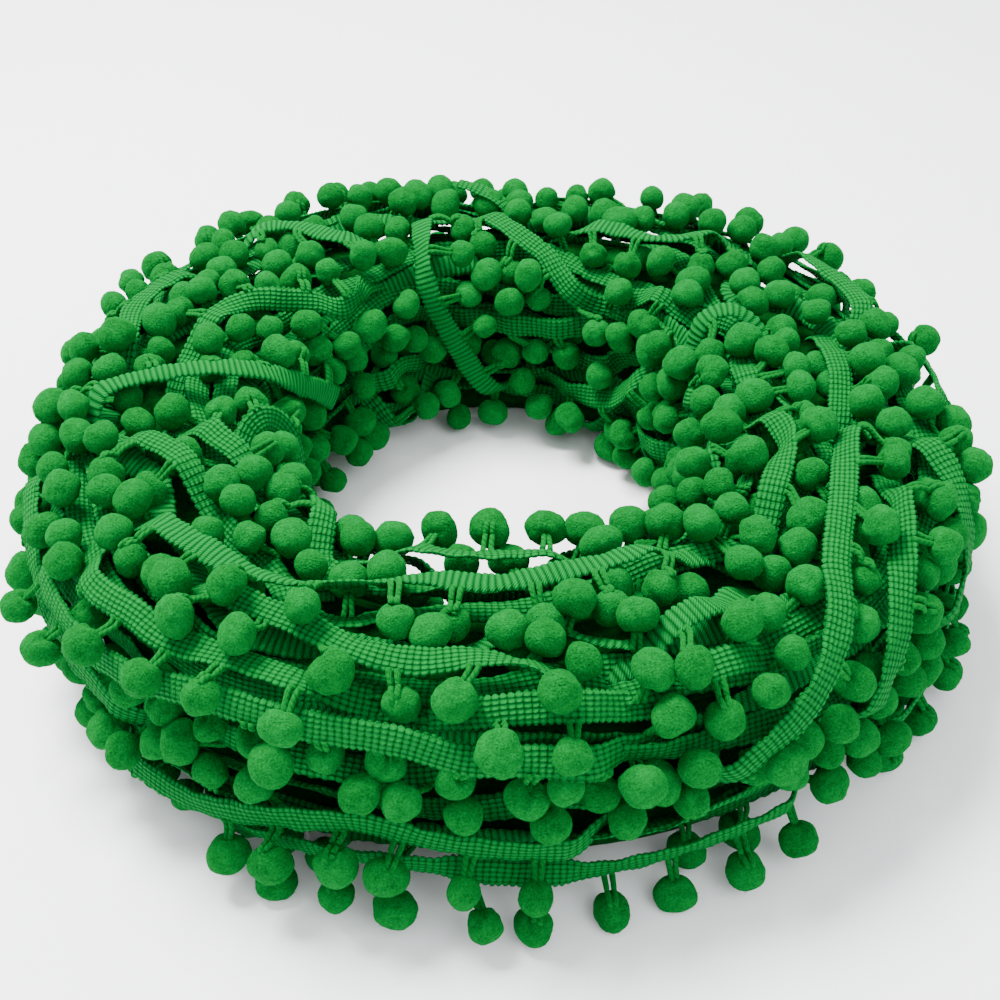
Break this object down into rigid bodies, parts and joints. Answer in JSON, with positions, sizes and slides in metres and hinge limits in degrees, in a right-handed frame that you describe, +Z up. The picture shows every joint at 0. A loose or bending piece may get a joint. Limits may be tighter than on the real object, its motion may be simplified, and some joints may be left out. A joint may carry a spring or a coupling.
{
  "type": "pompom fringe trim",
  "caption": "A narrow woven tape with green pompoms hanging from one edge, wound by hand into a loose ring that lies flat, with the end of the tape standing up at the back.",
  "frame": {"origin": "centre of the bounding box, at the floor that the ring lies on", "axes": "+Z up out of the ring, +Y towards the back, where the loose end stands up, +X to the right seen from the front"},
  "size_m": [0.2538, 0.2662, 0.0741],
  "materials": {
    "dyed_yarn": "matte"
  },
  "bodies": {
    "root": {"wound_form": "dyed_yarn", "fringe_front_1": "dyed_yarn", "fringe_front_2": "dyed_yarn", "fringe_front_3": "dyed_yarn", "fringe_front_4": "dyed_yarn", "fringe_front_5": "dyed_yarn", "fringe_front_6": "dyed_yarn", "fringe_front_7": "dyed_yarn", "fringe_front_8": "dyed_yarn", "fringe_front_9": "dyed_yarn", "fringe_front_10": "dyed_yarn", "fringe_left_1": "dyed_yarn", "fringe_left_2": "dyed_yarn", "fringe_left_3": "dyed_yarn", "fringe_left_4": "dyed_yarn", "fringe_left_5": "dyed_yarn", "fringe_left_6": "dyed_yarn", "fringe_left_7": "dyed_yarn", "fringe_left_8": "dyed_yarn", "fringe_left_9": "dyed_yarn", "fringe_back_1": "dyed_yarn", "fringe_back_2": "dyed_yarn", "fringe_back_3": "dyed_yarn", "fringe_back_4": "dyed_yarn", "fringe_back_5": "dyed_yarn", "fringe_back_6": "dyed_yarn", "fringe_back_7": "dyed_yarn", "fringe_back_8": "dyed_yarn", "fringe_back_9": "dyed_yarn", "fringe_right_1": "dyed_yarn", "fringe_right_2": "dyed_yarn", "fringe_right_3": "dyed_yarn", "fringe_right_4": "dyed_yarn", "fringe_right_5": "dyed_yarn", "fringe_right_6": "dyed_yarn", "fringe_right_7": "dyed_yarn", "fringe_right_8": "dyed_yarn", "fringe_right_9": "dyed_yarn", "fringe_right_10": "dyed_yarn", "fringe_right_11": "dyed_yarn", "fringe_right_12": "dyed_yarn", "fringe_right_13": "dyed_yarn", "fringe_right_14": "dyed_yarn", "fringe_outer_1": "dyed_yarn", "fringe_outer_2": "dyed_yarn", "fringe_outer_3": "dyed_yarn", "fringe_outer_4": "dyed_yarn", "fringe_outer_5": "dyed_yarn", "fringe_outer_6": "dyed_yarn", "fringe_outer_7": "dyed_yarn", "fringe_outer_8": "dyed_yarn", "fringe_outer_9": "dyed_yarn", "fringe_inner_1": "dyed_yarn", "fringe_inner_2": "dyed_yarn", "fringe_inner_3": "dyed_yarn", "fringe_inner_4": "dyed_yarn", "fringe_inner_5": "dyed_yarn", "fringe_inner_6": "dyed_yarn", "loose_end": "dyed_yarn"}
  },
  "joints": []
}
